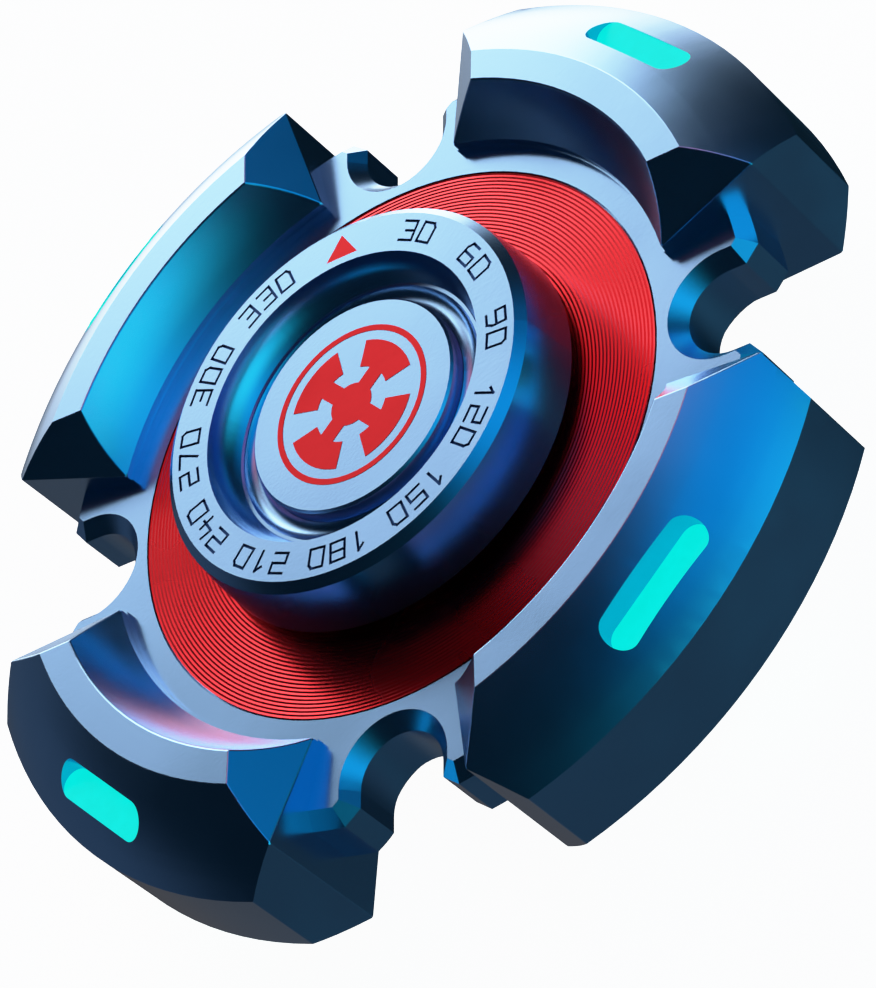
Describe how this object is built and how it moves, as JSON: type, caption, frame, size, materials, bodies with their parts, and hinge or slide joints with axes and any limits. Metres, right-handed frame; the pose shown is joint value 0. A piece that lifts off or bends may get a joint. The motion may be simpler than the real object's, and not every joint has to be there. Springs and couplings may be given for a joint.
{
  "type": "hand spinner",
  "caption": "Metal hand spinner: a notched rotor with broad arms and luminous bars turns on a ball bearing between two finger buttons.",
  "frame": {"origin": "the middle of the spinner: on the spin axis, halfway between the two finger faces", "axes": "+Z along the spin axis, out of the front finger face; +Y through the front dial's pointer, midway between two arms; +X midway between the next two arms"},
  "size_m": [0.0532, 0.0532, 0.0148],
  "materials": {
    "blue_metal": "bead-blasted and anodised light steel blue, satin",
    "red_anodised": "turned with fine round grooves and anodised red, glossy",
    "glow_resin": "cast luminous resin, cyan",
    "red_enamel": "red enamel inlay, satin",
    "bearing_steel": "ground stainless steel",
    "cage_steel": "pressed stainless steel",
    "ceramic_ball": "polished white ceramic",
    "screw_steel": "blackened steel"
  },
  "bodies": {
    "hub": {"front_button": "blue_metal", "back_button": "blue_metal", "bearing_inner_race": "bearing_steel", "hub_screw": "screw_steel", "front_shim_washer": "bearing_steel", "front_centre_cap": "blue_metal", "front_emblem_ring": "red_enamel", "front_emblem_rotor": "red_enamel", "front_dial_pointer": "red_enamel", "back_shim_washer": "bearing_steel", "back_centre_cap": "blue_metal", "back_emblem_ring": "red_enamel", "back_emblem_rotor": "red_enamel", "back_dial_pointer": "red_enamel"},
    "rotor": {"rotor_frame": "blue_metal", "bearing_outer_race": "bearing_steel", "front_red_disc": "red_anodised", "front_bearing_shield": "bearing_steel", "front_shield_clip": "bearing_steel", "front_light_bar_1": "glow_resin", "front_light_bar_2": "glow_resin", "front_light_bar_3": "glow_resin", "front_light_bar_4": "glow_resin", "back_red_disc": "red_anodised", "back_bearing_shield": "bearing_steel", "back_shield_clip": "bearing_steel", "back_light_bar_1": "glow_resin", "back_light_bar_2": "glow_resin", "back_light_bar_3": "glow_resin", "back_light_bar_4": "glow_resin"},
    "cage": {"bearing_cage": "cage_steel", "bearing_balls": "ceramic_ball"}
  },
  "joints": [
    {"name": "rotor_spin", "type": "hinge", "parent": "hub", "child": "rotor", "pos_m": [0, 0, 0], "axis": [0, 0, 1], "continuous": true},
    {"name": "cage_spin", "type": "hinge", "parent": "hub", "child": "cage", "pos_m": [0, 0, 0], "axis": [0, 0, 1], "continuous": true}
  ],
  "couplings": [
    {"joint": "cage_spin", "follows": "rotor_spin", "ratio": 0.58333}
  ]
}
